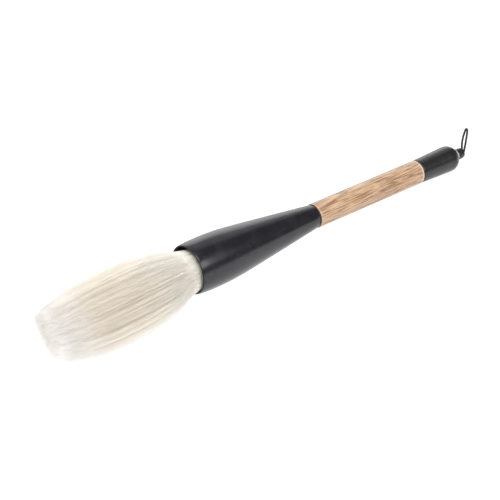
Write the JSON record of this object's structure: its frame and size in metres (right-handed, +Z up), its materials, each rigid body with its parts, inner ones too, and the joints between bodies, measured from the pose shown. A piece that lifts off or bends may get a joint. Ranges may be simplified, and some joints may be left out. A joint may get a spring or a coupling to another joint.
{
  "type": "calligraphy brush",
  "caption": "Large calligraphy brush with a blunt goat-hair head, black bell, wooden shaft, black end cap and a hanging loop.",
  "frame": {"origin": "on the table that the brush lies on, under the middle of the box of everything but the hanging loop", "axes": "+Z up from the table; +X along the brush, from the tip of the hair to the hanging loop, with the brush's own axis tipped 3.3 degrees tail down; +Y sideways"},
  "size_m": [0.3027, 0.038, 0.038],
  "materials": {
    "black_lacquer": "gloss",
    "satin_black": "satin",
    "oiled_wood": "satin",
    "pale_ring": "satin",
    "goat_hair": "matte",
    "binding_thread": "matte",
    "root_resin": "gloss",
    "waxed_cord": "satin"
  },
  "bodies": {
    "handle": {"bell_ferrule": "black_lacquer", "shaft": "oiled_wood", "end_cap": "satin_black", "collar_ring": "pale_ring", "knob": "satin_black", "cord_knot": "waxed_cord", "tuft_root": "goat_hair", "root_binding": "binding_thread", "root_resin": "root_resin"},
    "tuft": {"tuft_cover": "goat_hair", "tuft_core": "goat_hair"},
    "loop": {"hanging_loop": "waxed_cord"}
  },
  "joints": [
    {"name": "tuft_bend", "type": "hinge", "parent": "handle", "child": "tuft", "pos_m": [-0.05926, 0, 0.01901], "axis": [0, 1, 0], "range_deg": [-35, 35], "stiffness_Nm_per_rad": 0.25, "springref_deg": -2.86},
    {"name": "loop_swing", "type": "hinge", "parent": "handle", "child": "loop", "pos_m": [0.15079, 0, 0.0069], "axis": [0, 1, 0], "range_deg": [-8, 112], "stiffness_Nm_per_rad": 0.00005}
  ]
}
